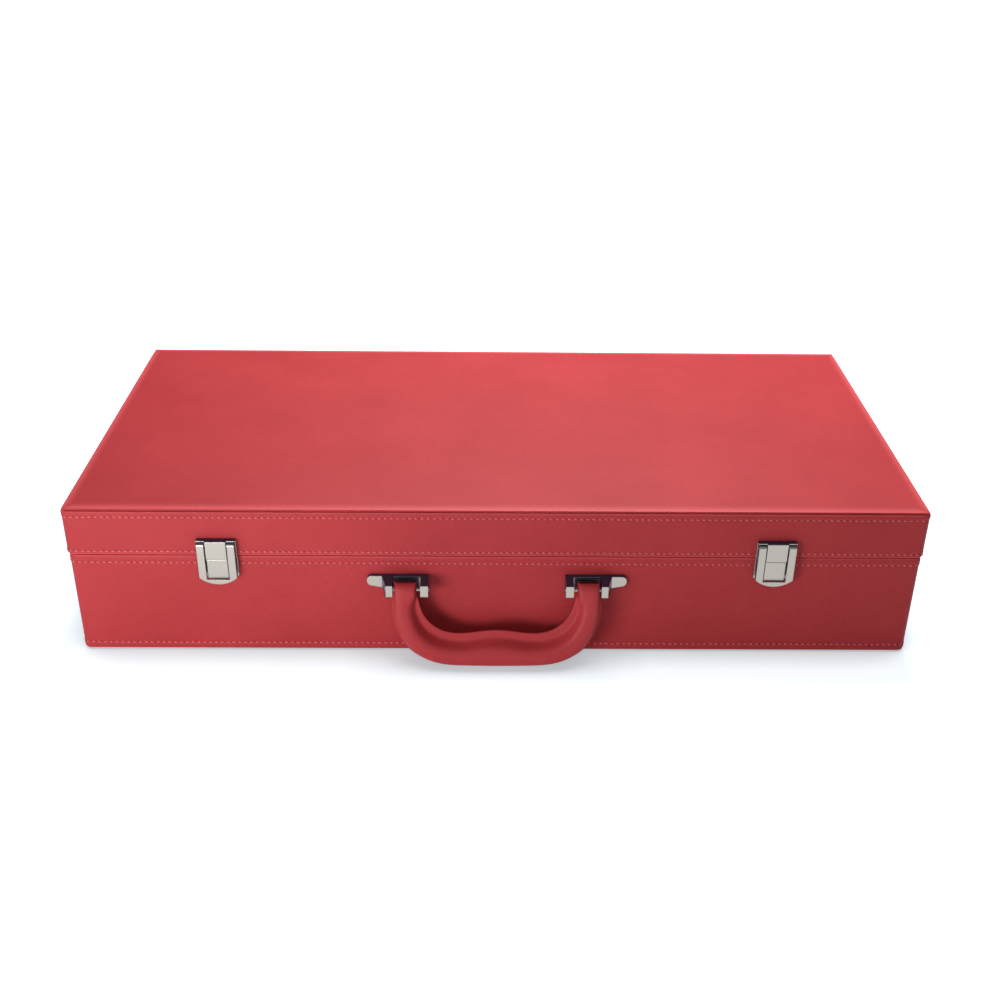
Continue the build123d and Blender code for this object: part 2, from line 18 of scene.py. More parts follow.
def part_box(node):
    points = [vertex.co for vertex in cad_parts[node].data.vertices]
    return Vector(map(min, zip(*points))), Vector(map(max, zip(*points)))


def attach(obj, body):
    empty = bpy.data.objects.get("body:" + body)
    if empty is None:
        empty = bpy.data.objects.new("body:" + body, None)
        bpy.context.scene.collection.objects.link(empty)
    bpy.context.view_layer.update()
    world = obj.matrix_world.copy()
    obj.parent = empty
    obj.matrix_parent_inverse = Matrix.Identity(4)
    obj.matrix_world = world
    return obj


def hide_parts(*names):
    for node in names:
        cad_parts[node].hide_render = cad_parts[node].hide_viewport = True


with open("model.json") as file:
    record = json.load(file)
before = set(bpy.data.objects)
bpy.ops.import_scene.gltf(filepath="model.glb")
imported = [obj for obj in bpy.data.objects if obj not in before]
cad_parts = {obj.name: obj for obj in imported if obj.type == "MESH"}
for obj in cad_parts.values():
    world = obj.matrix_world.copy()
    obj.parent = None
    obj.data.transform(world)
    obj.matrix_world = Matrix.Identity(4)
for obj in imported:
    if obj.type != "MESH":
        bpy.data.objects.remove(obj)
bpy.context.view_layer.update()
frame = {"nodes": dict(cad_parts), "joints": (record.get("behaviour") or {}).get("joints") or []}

MM = 0.001

# %% [markdown]
# The camera stands where the photographer stood: almost straight in front, looking down on the
# case by 29 degrees with a slightly long lens. Its three turns are given one by one,
# because a level tripod is rarely quite level: the last is the small tilt of the horizon.

# %% Camera
CAMERA_PLACE = Vector((-9.65, -810.96, 490.06)) * MM
CAMERA_PITCH = radians(28.96)
CAMERA_YAW = radians(0.92)
CAMERA_ROLL = radians(0.75)
camera_data = bpy.data.cameras.new("camera")
camera_data.lens = 45.67
camera_data.sensor_width = 36
camera = bpy.data.objects.new("camera", camera_data)
camera.matrix_world = (
    Matrix.Translation(CAMERA_PLACE)
    @ Matrix.Rotation(-CAMERA_YAW, 4, "Z")
    @ Matrix.Rotation(pi / 2 - CAMERA_PITCH, 4, "X")
    @ Matrix.Rotation(CAMERA_ROLL, 4, "Z")
)
scene = bpy.context.scene
scene.collection.objects.link(camera)
scene.camera = camera
scene.view_settings.view_transform = "Standard"

# %% [markdown]
# Every material below is a small tree of nodes. One function adds a node, sets what it is told
# and joins sockets, so a material reads from top to bottom like a recipe. Colours are written
# as the sRGB hex values a painter would pick on a screen and turned to linear light here.


# %% Node and colour helpers
def linear(hex_colour):
    """An sRGB hex colour as linear RGBA."""
    channels = [int(hex_colour[i:i + 2], 16) / 255 for i in (1, 3, 5)]
    return [c / 12.92 if c <= 0.04045 else ((c + 0.055) / 1.055) ** 2.4 for c in channels] + [1]


def add(tree, kind, inputs=None, **settings):
    """Adds one node. Inputs are values, or sockets of other nodes to link from."""
    made = tree.nodes.new(kind)
    for name, value in settings.items():
        setattr(made, name, value)
    for name, value in (inputs or {}).items():
        if isinstance(value, bpy.types.NodeSocket):
            tree.links.new(value, made.inputs[name])
        else:
            made.inputs[name].default_value = value
    return made


def start_material(name):
    """A new material with its tree, shader and object coordinates."""
    material = bpy.data.materials.new(name)
    material.use_nodes = True
    tree = material.node_tree
    shader = tree.nodes["Principled BSDF"]
    place = add(tree, "ShaderNodeTexCoord").outputs["Object"]
    return material, tree, shader, place


# %% [markdown]
# Leatherette is a knitted cloth coated with soft polyurethane. The coating is rolled with a
# leather grain, so its colour is even and nearly all of its character is in the relief: cells
# of about a millimetre with shallow furrows between them. Furrows hold a little more pigment,
# cell tops wear smoother. Voronoi cells make the grain, and two noises bend them and vary the
# shine so that broad faces don't look printed. Faces that slope between a wall and a top, as on
# the rolled folds, are painted paler: a painted highlight for the light those folds catch.

# %% Leatherette
GRAIN_CELL = 1.1 * MM
GRAIN_DEPTH = 0.10 * MM
# The third colour is the pale red of the painted highlight on folds.
LIGHT_RED, DARK_RED, FOLD_HIGHLIGHT_RED = "#c43f43", "#b4363a", "#f4686c"


def leatherette(name, light, dark, gloss, fold_highlight_share, flat):
    """Coated cloth of a colour, with a rolled grain. It is painted paler by a share where it bends
    over a fold, as a painted highlight. A fold is told by the upright part of the mesh's own normal,
    which is 0 on a wall. From the value called flat upwards the cloth counts as lying flat again."""
    material, tree, shader, place = start_material(name)
    bend = add(tree, "ShaderNodeTexNoise", {"Vector": place, "Scale": 0.35 / GRAIN_CELL, "Detail": 2.0})
    bent = add(
        tree, "ShaderNodeVectorMath",
        {0: bend.outputs["Color"], 1: (GRAIN_CELL, GRAIN_CELL, GRAIN_CELL)}, operation="MULTIPLY",
    )
    moved = add(tree, "ShaderNodeVectorMath", {0: place, 1: bent.outputs[0]}, operation="ADD")
    cells = add(
        tree, "ShaderNodeTexVoronoi",
        {"Vector": moved.outputs[0], "Scale": 1 / GRAIN_CELL, "Smoothness": 0.6},
        feature="SMOOTH_F1",
    )
    patches = add(
        tree, "ShaderNodeTexNoise", {"Vector": place, "Scale": 14.0, "Detail": 5.0, "Roughness": 0.6}
    )
    mottle = add(
        tree, "ShaderNodeTexNoise", {"Vector": place, "Scale": 900.0, "Detail": 3.0, "Roughness": 0.7}
    )
    blend = add(
        tree, "ShaderNodeMath",
        {0: patches.outputs["Fac"], 1: mottle.outputs["Fac"]}, operation="MULTIPLY",
    )
    colour = add(tree, "ShaderNodeValToRGB", {"Fac": blend.outputs[0]})
    colour.color_ramp.elements[0].position = 0.12
    colour.color_ramp.elements[0].color = linear(dark)
    colour.color_ramp.elements[1].position = 0.40
    colour.color_ramp.elements[1].color = linear(light)
    # Painted highlight: faces whose normal is neither level nor upright, as on rolled folds and the
    # padded roll, are mixed towards a pale red.
    normal = add(tree, "ShaderNodeTexCoord").outputs["Normal"]
    slope = add(tree, "ShaderNodeSeparateXYZ", {"Vector": normal})
    steep = add(tree, "ShaderNodeMath", {0: slope.outputs["Z"]}, operation="ABSOLUTE")
    fold = add(tree, "ShaderNodeValToRGB", {"Fac": steep.outputs[0]})
    fold.color_ramp.elements[0].position = 0.22
    fold.color_ramp.elements[0].color = (0, 0, 0, 1)
    fold.color_ramp.elements[1].position = 0.50
    fold.color_ramp.elements[1].color = (fold_highlight_share, fold_highlight_share, fold_highlight_share, 1)
    fold.color_ramp.elements.new(flat - 0.03).color = (fold_highlight_share, fold_highlight_share, fold_highlight_share, 1)
    fold.color_ramp.elements.new(flat).color = (0, 0, 0, 1)
    highlighted = add(
        tree, "ShaderNodeMix",
        {"Factor": fold.outputs["Color"], "A": colour.outputs["Color"], "B": linear(FOLD_HIGHLIGHT_RED)},
        data_type="RGBA",
    )
    tree.links.new(highlighted.outputs["Result"], shader.inputs["Base Color"])
    shine = add(
        tree, "ShaderNodeMapRange",
        {"Value": cells.outputs["Distance"], "To Min": gloss - 0.06, "To Max": gloss + 0.10},
    )
    tree.links.new(shine.outputs["Result"], shader.inputs["Roughness"])
    shader.inputs["IOR"].default_value = 1.45
    shader.inputs["Specular IOR Level"].default_value = 0.26
    relief = add(
        tree, "ShaderNodeBump",
        {"Height": cells.outputs["Distance"], "Distance": GRAIN_DEPTH, "Strength": 0.35}, invert=True,
    )
    pores = add(
        tree, "ShaderNodeBump",
        {"Height": mottle.outputs["Fac"], "Distance": 0.05 * MM, "Strength": 0.35,
         "Normal": relief.outputs["Normal"]},
    )
    tree.links.new(pores.outputs["Normal"], shader.inputs["Normal"])
    return material


# The third number is the share of painted highlight on folds.
red_leatherette = leatherette("red_leatherette", LIGHT_RED, DARK_RED, 0.58, 0.6, 0.72)
padded_leatherette = leatherette("padded_leatherette", LIGHT_RED, DARK_RED, 0.58, 0.75, 0.9985)
handle_leatherette = leatherette("handle_leatherette", LIGHT_RED, DARK_RED, 0.45, 0.0, 1.0)
sole_leatherette = leatherette("sole_leatherette", "#8f3236", "#7c2a2e", 0.6, 0.0, 1.0)

# %% [markdown]
# The latches and brackets are die-cast zinc with a bright nickel plate. Only faces that look to
# the front show the bright metal. Tops and flanks are painted a dark navy that is not metal:
# painted shade, which makes them look nearly black beside the pale fronts. The mesh's own normals
# tell a front from a return, and the recess of a bracket, between its lugs, is painted dark too,
# as painted shade. Edges are painted bright metal on all sides: a painted highlight. Polishing
# leaves faint waves and fine rubbing marks, which keep the fronts from being mirror sharp.


# %% Nickel plate
def plated(name, colour, shade_colour, roughness, wave, recess=None):
    """Bright plated metal on faces that look to the front. Its returns take painted shade, a colour that
    is not metal, and its edges take a painted highlight of bright metal.

    recess is a distance from the middle and a half width in x, between which the painted shade covers
    the fronts too."""
    material, tree, shader, place = start_material(name)
    eased = add(tree, "ShaderNodeBevel", {"Radius": 0.5 * MM}, samples=6)
    surface = add(tree, "ShaderNodeNewGeometry")
    alike = add(
        tree, "ShaderNodeVectorMath",
        {0: eased.outputs["Normal"], 1: surface.outputs["True Normal"]}, operation="DOT_PRODUCT",
    )
    # Painted highlight: near edges, where the rounded normal parts from the true one, the face is
    # painted bright metal.
    edge = add(
        tree, "ShaderNodeMapRange", {"Value": alike.outputs["Value"], "From Min": 0.985, "From Max": 0.9}
    )
    # Painted shade: faces that don't look to the front take the shade colour and lose their metal.
    normal = add(tree, "ShaderNodeTexCoord").outputs["Normal"]
    facing = add(tree, "ShaderNodeSeparateXYZ", {"Vector": normal})
    front = add(
        tree, "ShaderNodeMapRange",
        {"Value": facing.outputs["Y"], "From Min": -0.35, "From Max": -0.75},
    ).outputs["Result"]
    # Painted shade: the bracket's recess between its lugs stays dark even where it faces the front.
    if recess:
        across = add(tree, "ShaderNodeSeparateXYZ", {"Vector": place}).outputs["X"]
        aside = add(tree, "ShaderNodeMath", {0: across}, operation="ABSOLUTE")
        middle = add(tree, "ShaderNodeMath", {0: aside.outputs[0], 1: recess[0]}, operation="SUBTRACT")
        apart = add(tree, "ShaderNodeMath", {0: middle.outputs[0]}, operation="ABSOLUTE")
        clear = add(
            tree, "ShaderNodeMath", {0: apart.outputs[0], 1: recess[1]}, operation="GREATER_THAN"
        )
        front = add(
            tree, "ShaderNodeMath", {0: front, 1: clear.outputs[0]}, operation="MULTIPLY"
        ).outputs[0]
    front_and_edge_highlight = add(tree, "ShaderNodeMath", {0: front, 1: edge.outputs["Result"]}, operation="MAXIMUM")
    tone = add(
        tree, "ShaderNodeMix",
        {"Factor": front_and_edge_highlight.outputs[0], "A": linear(shade_colour), "B": linear(colour)}, data_type="RGBA",
    )
    tree.links.new(tone.outputs["Result"], shader.inputs["Base Color"])
    tree.links.new(front_and_edge_highlight.outputs[0], shader.inputs["Metallic"])
    rub = add(tree, "ShaderNodeTexNoise", {"Vector": place, "Scale": 700.0, "Detail": 4.0})
    dull = add(
        tree, "ShaderNodeMapRange",
        {"Value": rub.outputs["Fac"], "To Min": roughness - 0.04, "To Max": roughness + 0.06},
    )
    tree.links.new(dull.outputs["Result"], shader.inputs["Roughness"])
    swell = add(tree, "ShaderNodeTexNoise", {"Vector": place, "Scale": 90.0, "Detail": 1.0})
    waves = add(
        tree, "ShaderNodeBump",
        {"Height": swell.outputs["Fac"], "Distance": wave, "Strength": 0.25,
         "Normal": eased.outputs["Normal"]},
    )
    tree.links.new(waves.outputs["Normal"], shader.inputs["Normal"])
    return material


# The second colour is painted shade for the returns of the plating.
BRIGHT, SHADE_NAVY = "#a09b93", "#24405e"
nickel_plate = plated("bright_nickel_plate", BRIGHT, SHADE_NAVY, 0.30, 0.12 * MM)
# Where the painted shade of the bracket's recess lies.
BRACKET_RECESS = (57.5 * MM, 7.9 * MM)
bracket_plate = plated("cast_bracket_nickel", BRIGHT, SHADE_NAVY, 0.30, 0.12 * MM, recess=BRACKET_RECESS)
zinc_plate = plated("zinc_plated_steel", "#b9b6ae", "#b3b0a8", 0.32, 0.05 * MM)

# %% [markdown]
# Velvet lining is a dense short pile. It is nearly black face on and brightens towards grazing
# angles, where the light catches the sides of the fibres: that is what the sheen layer does.
# The nap lies in slightly different directions, which shows as soft patches.

# %% Velvet
velvet, tree, shader, place = start_material("black_velvet")
nap = add(tree, "ShaderNodeTexNoise", {"Vector": place, "Scale": 22.0, "Detail": 3.0})
pile = add(tree, "ShaderNodeTexNoise", {"Vector": place, "Scale": 1500.0, "Detail": 2.0})
shade = add(tree, "ShaderNodeValToRGB", {"Fac": nap.outputs["Fac"]})
shade.color_ramp.elements[0].position = 0.3
shade.color_ramp.elements[0].color = linear("#17171a")
shade.color_ramp.elements[1].position = 0.7
shade.color_ramp.elements[1].color = linear("#25252a")
tree.links.new(shade.outputs["Color"], shader.inputs["Base Color"])
shader.inputs["Roughness"].default_value = 0.95
shader.inputs["Sheen Weight"].default_value = 0.7
shader.inputs["Sheen Roughness"].default_value = 0.35
shader.inputs["Sheen Tint"].default_value = linear("#9a9aa5")
fibres = add(
    tree, "ShaderNodeBump", {"Height": pile.outputs["Fac"], "Distance": 0.3 * MM, "Strength": 0.6}
)
tree.links.new(fibres.outputs["Normal"], shader.inputs["Normal"])

# %% [markdown]
# The parts inside the walls are plain workshop stock: medium-density fibreboard with its
# pressed fibres, open-cell foam under the padded top, and a moulded black core in the handle.
# Little of them shows, so each is one speckled colour with the relief of its surface.


# %% Board, foam and plastic
def speckled(name, light, dark, grain, depth, roughness):
    """A matt material with a fine speckle of two colours."""
    material, tree, shader, place = start_material(name)
    fleck = add(tree, "ShaderNodeTexNoise", {"Vector": place, "Scale": 1 / grain, "Detail": 4.0})
    tone = add(tree, "ShaderNodeValToRGB", {"Fac": fleck.outputs["Fac"]})
    tone.color_ramp.elements[0].position = 0.35
    tone.color_ramp.elements[0].color = linear(dark)
    tone.color_ramp.elements[1].position = 0.65
    tone.color_ramp.elements[1].color = linear(light)
    tree.links.new(tone.outputs["Color"], shader.inputs["Base Color"])
    shader.inputs["Roughness"].default_value = roughness
    skin = add(
        tree, "ShaderNodeBump", {"Height": fleck.outputs["Fac"], "Distance": depth, "Strength": 0.5}
    )
    tree.links.new(skin.outputs["Normal"], shader.inputs["Normal"])
    return material


fibreboard = speckled("fibreboard", "#b08a62", "#96724d", 0.8 * MM, 0.1 * MM, 0.85)
sheet_foam = speckled("sheet_foam", "#ddd6c2", "#c9c1aa", 0.6 * MM, 0.3 * MM, 0.95)
moulded_core = speckled("moulded_core", "#232326", "#1a1a1c", 0.5 * MM, 0.03 * MM, 0.5)
thread = speckled("polyester_thread", "#e8757a", "#d9646a", 0.35 * MM, 0.05 * MM, 0.55)
# The needle-hole colour is painted shade: a dark lump stands in for the dark inside each hole.
needle_hole_shade = speckled("needle_hole_shade", "#93333a", "#7c2a2e", 0.35 * MM, 0.02 * MM, 0.9)

# %% [markdown]
# Each CAD node keeps its own mesh and takes the material of the real piece. The words in the
# node names say what a node is made of, so a short list of endings covers all of them.

# %% Materials for the CAD nodes
finishes = (
    (("_liner", "_partition"), velvet),
    (("_foam",), sheet_foam),
    (("_board",), fibreboard),
    (("_core",), moulded_core),
    (("_screws", "_washers"), zinc_plate),
    (("_leaf", "_hinge_pin"), zinc_plate),
    (("_bracket",), bracket_plate),
    (("_plate", "_flap", "_latch_pin", "_handle_pin"), nickel_plate),
    (("_cover", "_band"), red_leatherette),
)
for name, node in frame["nodes"].items():
    finish = next(material for endings, material in finishes if name.endswith(endings))
    if name == "bottom_cover":
        finish = sole_leatherette
    node.data.materials.clear()
    node.data.materials.append(finish)


# %% [markdown]
# New pieces are closed meshes that sit where the CAD has them. This helper turns a finished
# bmesh into an object, gives it its material and lets it ride on a body.


# %% Turning a bmesh into a piece
def make_piece(name, bm, material, body):
    """A smooth-shaded object from a bmesh, riding on a body."""
    bmesh.ops.recalc_face_normals(bm, faces=bm.faces)
    mesh = bpy.data.meshes.new(name)
    bm.to_mesh(mesh)
    bm.free()
    for face in mesh.polygons:
        face.use_smooth = True
    mesh.materials.append(material)
    piece = bpy.data.objects.new(name, mesh)
    scene.collection.objects.link(piece)
    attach(piece, body)
    print(name, len(mesh.polygons), "faces")
    return piece


# %% [markdown]
# The covering of each half is one strip that is folded over the rim, glued down the wall and
# turned in underneath. Near each edge it is doubled and sewn, so it puffs up a little between
# the fold and the stitching and dips along the stitches. The strip is drawn as a section: each
# step is a distance out from the wall's face and a height. A loop of edges shaped like the
# case in plan is extruded from step to step, as a finger runs down the wall.

# %% Folded side coverings
CORNER_STEPS = 8
STRAIGHT_STEP = 9.0 * MM


def plan_loop(bm, half_x, half_y, radius, height):
    """A closed loop of edges round a rectangle with rounded corners."""
    made = bmesh.ops.create_grid(bm, x_segments=1, y_segments=1, size=1.0)
    bmesh.ops.scale(bm, vec=(half_x, half_y, 1), verts=made["verts"])
    bmesh.ops.translate(bm, vec=(0, 0, height), verts=made["verts"])
    bmesh.ops.bevel(
        bm, geom=made["verts"], offset=radius, segments=CORNER_STEPS, profile=0.5,
        affect="VERTICES", material=-1,
    )
    bmesh.ops.delete(bm, geom=bm.faces[:], context="FACES_ONLY")
    for axis in (0, 1):
        long_edges = [e for e in bm.edges
                      if abs(e.verts[0].co[axis] - e.verts[1].co[axis]) > 4 * STRAIGHT_STEP]
        cuts = ceil(long_edges[0].calc_length() / STRAIGHT_STEP)
        bmesh.ops.subdivide_edges(bm, edges=long_edges, cuts=cuts)


def outward(vert, half_x, half_y, radius):
    """The direction straight out from the wall at a vertex of the plan loop."""
    core = Vector((max(-half_x + radius, min(half_x - radius, vert.co.x)),
                   max(-half_y + radius, min(half_y - radius, vert.co.y)), vert.co.z))
    return (vert.co - core).normalized()


def folded_strip(half_x, half_y, radius, section):
    """A sheet that follows a section of (out, height) steps all the way round."""
    bm = bmesh.new()
    plan_loop(bm, half_x, half_y, radius, section[0][1])
    ways = {vert: outward(vert, half_x, half_y, radius) for vert in bm.verts}
    for vert in bm.verts:
        vert.co += ways[vert] * section[0][0]
    ring = bm.edges[:]
    for (out, height), (last_out, last_height) in zip(section[1:], section):
        made = bmesh.ops.extrude_edge_only(bm, edges=ring)["geom"]
        ring = [part for part in made if isinstance(part, bmesh.types.BMEdge)]
        new_verts = [part for part in made if isinstance(part, bmesh.types.BMVert)]
        moved = {}
        for vert in new_verts:
            below = next(e.other_vert(vert) for e in vert.link_edges if e.other_vert(vert) in ways)
            moved[vert] = ways[below]
        for vert, way in moved.items():
            vert.co += way * (out - last_out) + Vector((0, 0, height - last_height))
            if -out > radius:
                for axis, half in ((0, half_x), (1, half_y)):
                    vert.co[axis] = max(-half - out, min(half + out, vert.co[axis]))
        ways = moved
        ring = [edge for edge in ring if edge.verts[0] in ways and edge.verts[1] in ways]
    bmesh.ops.remove_doubles(bm, verts=bm.verts, dist=0.001 * MM)
    return bm


def sheet_thickness(piece, thickness):
    """Gives an open sheet its thickness, inwards from the drawn face."""
    solid = piece.modifiers.new("thickness", "SOLIDIFY")
    solid.thickness = thickness
    solid.offset = -1


base_low, base_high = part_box("base_band")
lid_low, lid_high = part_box("lid_band")
CASE_CORNER = 5.0 * MM
BOARD_FACE = 7.3 * MM  # covering and board together
BASE_RIM_ROW, BASE_FOOT_ROW = 5.2 * MM, 4.9 * MM  # stitches to the fold
LID_RIM_ROW, LID_TOP_ROW = 2.8 * MM, 3.7 * MM
PUFF = 0.32 * MM
DIP = -0.25 * MM


def edge_steps(height, inside, sense, radius, inset):
    """Section steps from a flat turned-in edge, round its fold and past its stitches.

    sense is 1 where the wall lies below the edge and -1 where it lies above. inset is the
    distance of the stitches from the fold."""
    steps = [(-inside, height), (-3.0 * MM, height), (-radius * 1.3, height)]
    for turn in (25, 50, 75):
        a = radians(turn)
        steps.append((-radius + radius * sin(a), height - sense * (radius - radius * cos(a))))
    steps += [
        (0.6 * PUFF, height - sense * 0.36 * inset),
        (PUFF, height - sense * 0.5 * inset),
        (0.6 * PUFF, height - sense * (inset - 0.85 * MM)),
        (DIP, height - sense * inset),
        (0.3 * PUFF, height - sense * (inset + 0.9 * MM)),
        (0.0, height - sense * (inset + 2.2 * MM)),
    ]
    return steps


def wall_steps(top, bottom):
    """Even steps down a plain wall between two heights."""
    count = 8
    return [(0.0, top + (bottom - top) * i / count) for i in range(1, count)]


base_top_edge = edge_steps(base_high.z, BOARD_FACE, 1, 1.1 * MM, BASE_RIM_ROW)
base_bottom_edge = edge_steps(base_low.z, 16 * MM, -1, 0.9 * MM, BASE_FOOT_ROW)
base_wall = wall_steps(base_top_edge[-1][1], base_bottom_edge[-1][1])
base_section = base_top_edge + base_wall + base_bottom_edge[::-1]
base_strip = folded_strip(base_high.x, base_high.y, CASE_CORNER, base_section)
base_cover = make_piece("base_side_cover", base_strip, red_leatherette, "base")
sheet_thickness(base_cover, 1.2 * MM)
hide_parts("base_band")

LID_EDGE_RADIUS = 0.6 * MM
lid_bottom_edge = edge_steps(lid_low.z, BOARD_FACE, -1, 0.9 * MM, LID_RIM_ROW)
lid_top_edge = edge_steps(lid_high.z, 1.25 * MM, 1, LID_EDGE_RADIUS, LID_TOP_ROW)[2:]
lid_top_edge = [(-1.3 * MM, lid_high.z - 3.0 * MM), (-1.25 * MM, lid_high.z - 0.4 * MM)] + lid_top_edge
lid_wall = wall_steps(lid_bottom_edge[-1][1], lid_top_edge[-1][1])
lid_section = lid_bottom_edge + lid_wall + lid_top_edge[::-1]
lid_strip = folded_strip(lid_high.x, lid_high.y, CASE_CORNER, lid_section)
lid_cover = make_piece("lid_side_cover", lid_strip, red_leatherette, "lid")
sheet_thickness(lid_cover, 1.2 * MM)
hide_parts("lid_band")

# %% [markdown]
# The top of the lid is foam under a stretched cover, tucked down behind the side covering. The
# stretch pulls it flat in the middle and rolls it over the board at the edge. It starts as a
# block, is sliced where the surface must bend, and a subdivision surface rounds what the cage
# of slices describes. Its middle stands a little higher than its rim.

# %% Padded lid top
top_low, top_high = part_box("lid_top_cover")
TUCK = 3.0 * MM  # how far the cover goes down behind the side covering
CROWN = 0.5 * MM
ROLL_DROP, ROLL_WIDTH = 1.1 * MM, 7.5 * MM  # how the foam falls away towards its edge
pad = bmesh.new()
bmesh.ops.create_cube(pad, size=1.0)
pad_height = top_high.z - (lid_high.z - TUCK)
bmesh.ops.scale(pad, vec=(2 * top_high.x, 2 * top_high.y, pad_height), verts=pad.verts)
bmesh.ops.translate(pad, vec=(0, 0, top_high.z - pad_height / 2), verts=pad.verts)
SLICE_INSETS = (0.7, 2.4, 4.4, 6.5, 9.0, 14.0, 30.0, 60.0, 95.0)
slices = [(axis, side * (top_high[axis] - inset * MM))
          for axis in (0, 1) for side in (-1, 1) for inset in SLICE_INSETS]
slices += [(0, x * MM) for x in (-140, -100, -60, -20, 20, 60, 100, 140)]
slices += [(2, top_high.z - drop * MM) for drop in (0.6, 2.4)]
for axis, place_on_axis in slices:
    normal = Vector((0, 0, 0))
    normal[axis] = 1
    bmesh.ops.bisect_plane(
        pad, geom=pad.verts[:] + pad.edges[:] + pad.faces[:],
        plane_co=normal * place_on_axis, plane_no=normal,
    )
for vert in pad.verts:
    edge_x, edge_y = top_high.x - abs(vert.co.x), top_high.y - abs(vert.co.y)
    inset = min(edge_x, edge_y)
    if vert.co.z > top_high.z - 0.1 * MM:
        vert.co.z += CROWN * min(1, inset / (60 * MM)) - 0.1 * MM
        vert.co.z -= ROLL_DROP * max(0, 1 - inset / ROLL_WIDTH) ** 2
padded_top = make_piece("lid_padded_top", pad, padded_leatherette, "lid")
rounding = padded_top.modifiers.new("rounding", "SUBSURF")
rounding.levels = rounding.render_levels = 3
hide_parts("lid_top_cover")

# %% [markdown]
# Two rows of lockstitch run round each half, one along each fold. A stitch is a short bridge of
# thread that dives into a needle hole at each end. One low stitch with a dozen faces is made
# once and copied along the wall, each copy turned to the wall and tipped a hair, as a machine
# leaves them. Rows stop where a latch or hinge plate lies over them.

# %% Stitching
STITCH_PITCH = 3.8 * MM
STITCH_LENGTH = 2.1 * MM
THREAD_RADIUS = 0.62 * MM
stitch_maker = bmesh.new()
bmesh.ops.create_uvsphere(stitch_maker, u_segments=6, v_segments=5, radius=1.0)
bmesh.ops.rotate(stitch_maker, verts=stitch_maker.verts, matrix=Matrix.Rotation(pi / 2, 3, "Y"))
STITCH_SHAPE = (STITCH_LENGTH / 2, THREAD_RADIUS * 0.8, THREAD_RADIUS)
bmesh.ops.scale(stitch_maker, vec=STITCH_SHAPE, verts=stitch_maker.verts)
one_stitch = bpy.data.meshes.new("one_stitch")
stitch_maker.to_mesh(one_stitch)
stitch_maker.free()
# A needle hole is drawn as a small flattened lump in a dark colour: painted shade for the hole.
HOLE_RADIUS = 0.42 * MM
hole_maker = bmesh.new()
bmesh.ops.create_icosphere(hole_maker, subdivisions=1, radius=HOLE_RADIUS)
bmesh.ops.scale(hole_maker, vec=(1.3, 0.45, 1.0), verts=hole_maker.verts)
one_hole = bpy.data.meshes.new("one_hole")
hole_maker.to_mesh(one_hole)
hole_maker.free()


def wall_places(half_x, half_y, radius, pitch, shift):
    """Places and directions at an even pitch round a rounded rectangle."""
    run_x, run_y, arc = 2 * (half_x - radius), 2 * (half_y - radius), radius * pi / 2
    total = 2 * (run_x + run_y) + 4 * arc
    count = round(total / pitch)
    for i in range(count):
        s = (i + shift) * total / count
        for side in range(4):
            run = run_x if side % 2 == 0 else run_y
            turn = Matrix.Rotation(side * pi / 2, 3, "Z")
            across = half_y if side % 2 == 0 else half_x
            if s < run:
                yield turn @ Vector((s - run / 2, -across, 0)), side * pi / 2
                break
            s -= run
            if s < arc:
                angle = s / radius
                centre = Vector((run / 2, -across + radius, 0))
                bow = Vector((sin(angle), -cos(angle), 0)) * radius
                yield turn @ (centre + bow), side * pi / 2 + angle
                break
            s -= arc


plates = [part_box(name) for name in frame["nodes"] if name.endswith(("_plate", "_leaf"))]


def under_plate(spot):
    """Whether a spot on the wall lies under a latch plate or hinge leaf."""
    return any(low.x - MM < spot.x < high.x + MM and low.z - MM < spot.z < high.z + MM
               and abs(spot.y - (low.y + high.y) / 2) < 12 * MM for low, high in plates)


def copied_row(name, body, template, material, half_x, half_y, height, shift, sunk, tips):
    """Copies of a small mesh round the case at a height, sunk behind the wall's face."""
    row = bmesh.new()
    for spot, heading in wall_places(half_x, half_y, CASE_CORNER, STITCH_PITCH, shift):
        spot.z = height
        if under_plate(spot):
            continue
        old = set(row.verts)
        row.from_mesh(template)
        new = [vert for vert in row.verts if vert not in old]
        turn = Matrix.Rotation(heading, 3, "Z")
        tip = Matrix.Rotation(radians(tips()), 3, "Y")
        bmesh.ops.rotate(row, verts=new, matrix=turn @ tip)
        bmesh.ops.translate(row, verts=new, vec=spot + turn @ Vector((0, sunk, 0)))
    return make_piece(name, row, material, body)


def stitched_row(name, body, half_x, half_y, height, seed):
    """A row of stitches, with a needle hole between each two, drawn as a small dark lump: painted shade.
    """
    chance = random.Random(seed)
    copied_row(name + "_stitching", body, one_stitch, thread, half_x, half_y, height,
               0.5, -DIP - 0.22 * MM, lambda: chance.uniform(2, 8))
    copied_row(name + "_needle_holes", body, one_hole, needle_hole_shade, half_x, half_y, height,
               0.0, -DIP - 0.05 * MM, lambda: 0)


stitched_row("base_rim", "base", base_high.x, base_high.y, base_high.z - BASE_RIM_ROW, 1)
stitched_row("base_foot", "base", base_high.x, base_high.y, base_low.z + BASE_FOOT_ROW, 2)
stitched_row("lid_rim", "lid", lid_high.x, lid_high.y, lid_low.z + LID_RIM_ROW, 3)
stitched_row("lid_top", "lid", lid_high.x, lid_high.y, lid_high.z - LID_TOP_ROW, 4)

# %% [markdown]
# The handle is two pressed half covers round a core. Each half is a rounded body with a flat
# rim, and the two rims are welded together in the middle plane, so a thin welt runs round the
# whole handle: wide on the inside of the bow, narrow on the outside. A half cover is drawn as
# an arch, a row of points from one rim's edge over the body to the other. The row is extruded
# from station to station along the bow, and at each station the points are put back on the
# arch for that place. The bow is worked in the handle's own plane, with its pivot as origin,
# and is tipped out to the angle at which it rests when it is done.

# %% Handle half covers
LEAN = radians(6)
pivot = Vector(next(j for j in frame["joints"] if j["name"] == "handle_swing")["pos_m"])
